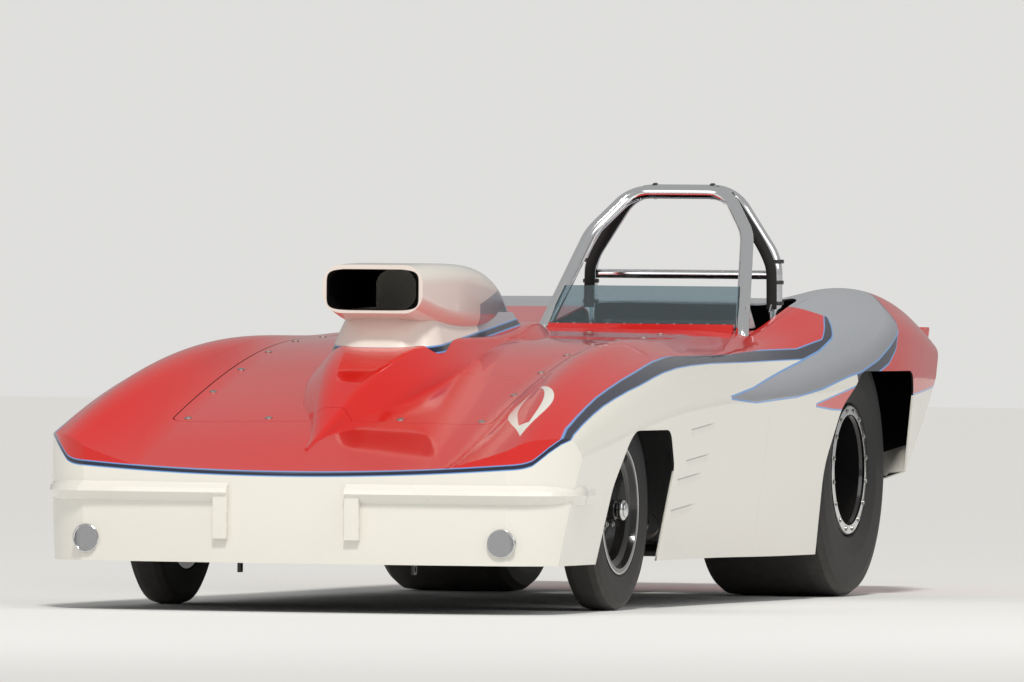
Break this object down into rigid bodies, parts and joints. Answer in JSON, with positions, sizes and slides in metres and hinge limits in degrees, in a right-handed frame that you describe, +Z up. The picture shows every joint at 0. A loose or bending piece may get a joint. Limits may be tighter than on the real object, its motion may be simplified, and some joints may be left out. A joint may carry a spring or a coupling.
{
  "type": "drag racing roadster",
  "caption": "Open drag racing roadster with a long low nose, hood scoop, offset roll cage, narrow front wheels and wide rear slicks.",
  "frame": {"origin": "on the ground under the middle of the car's bounding box", "axes": "+X to the car's left, +Y towards the tail (the nose points to -Y), +Z up"},
  "size_m": [1.7706, 5.0404, 1.3799],
  "materials": {
    "body_paint": "high gloss paint, red above and white below",
    "scoop_paint": "gloss white",
    "white_paint": "gloss white",
    "lens": "clear lens",
    "lamp_red": "red lens",
    "pipe_steel": "bare tube",
    "gusset_sheet": "drilled sheet",
    "clear_sheet": "lightly tinted clear sheet",
    "tin": "bare sheet",
    "seat_pad": "black",
    "cage_chrome": "chrome plated tube",
    "frame_paint": "black chassis paint",
    "block_iron": "plain casting",
    "cast_case": "cast and machined",
    "wheel_black": "gloss black",
    "tyre_rubber": "slick rubber"
  },
  "bodies": {
    "body": {"front_clip": "body_paint", "hood": "body_paint", "hood_scoop": "scoop_paint", "cowl": "body_paint", "tonneau_cover": "body_paint", "body_side_left": "body_paint", "body_side_right": "body_paint", "rear_clip": "body_paint", "rear_spoiler": "body_paint", "bumper_front_left": "white_paint", "bumper_front_right": "white_paint", "signal_left": "lens", "signal_right": "lens", "bumper_rear": "white_paint", "tail_lamps": "lamp_red", "windshield_lip": "white_paint", "windshield": "clear_sheet", "cockpit_tub": "tin", "seat": "seat_pad", "dash_panel": "tin", "steering_wheel": "seat_pad", "main_hoop": "cage_chrome", "front_hoop": "cage_chrome", "harness_bar": "cage_chrome", "chassis_frame": "frame_paint", "front_suspension_left": "frame_paint", "front_suspension_right": "frame_paint", "steering_rack": "frame_paint", "engine_block": "block_iron", "exhaust_left": "pipe_steel", "exhaust_right": "pipe_steel", "gearbox": "cast_case", "driveshaft": "cast_case", "rear_axle": "frame_paint", "cage_gussets": "gusset_sheet"},
    "knuckle_left": {"knuckle_left": "cast_case"},
    "knuckle_right": {"knuckle_right": "cast_case"},
    "wheel_front_left": {"front_wheel_left": "wheel_black", "front_tyre_left": "tyre_rubber"},
    "wheel_front_right": {"front_wheel_right": "wheel_black", "front_tyre_right": "tyre_rubber"},
    "wheel_rear_left": {"rear_wheel_left": "wheel_black", "rear_tyre_left": "tyre_rubber"},
    "wheel_rear_right": {"rear_wheel_right": "wheel_black", "rear_tyre_right": "tyre_rubber"}
  },
  "joints": [
    {"name": "steer_left", "type": "hinge", "parent": "body", "child": "knuckle_left", "pos_m": [0.68, -1.44988, 0.3225], "axis": [0, 0, 1], "range_deg": [-20, 20]},
    {"name": "steer_right", "type": "hinge", "parent": "body", "child": "knuckle_right", "pos_m": [-0.68, -1.44988, 0.3225], "axis": [0, 0, 1], "range_deg": [-20, 20]},
    {"name": "spin_front_left", "type": "hinge", "parent": "knuckle_left", "child": "wheel_front_left", "pos_m": [0.729, -1.44988, 0.3225], "axis": [1, 0, 0], "continuous": true},
    {"name": "spin_front_right", "type": "hinge", "parent": "knuckle_right", "child": "wheel_front_right", "pos_m": [-0.729, -1.44988, 0.3225], "axis": [1, 0, 0], "continuous": true},
    {"name": "spin_rear_left", "type": "hinge", "parent": "body", "child": "wheel_rear_left", "pos_m": [0.571, 1.25012, 0.4265], "axis": [1, 0, 0], "continuous": true},
    {"name": "spin_rear_right", "type": "hinge", "parent": "body", "child": "wheel_rear_right", "pos_m": [-0.571, 1.25012, 0.4265], "axis": [1, 0, 0], "continuous": true}
  ],
  "couplings": [
    {"joint": "steer_right", "follows": "steer_left", "ratio": 1}
  ]
}
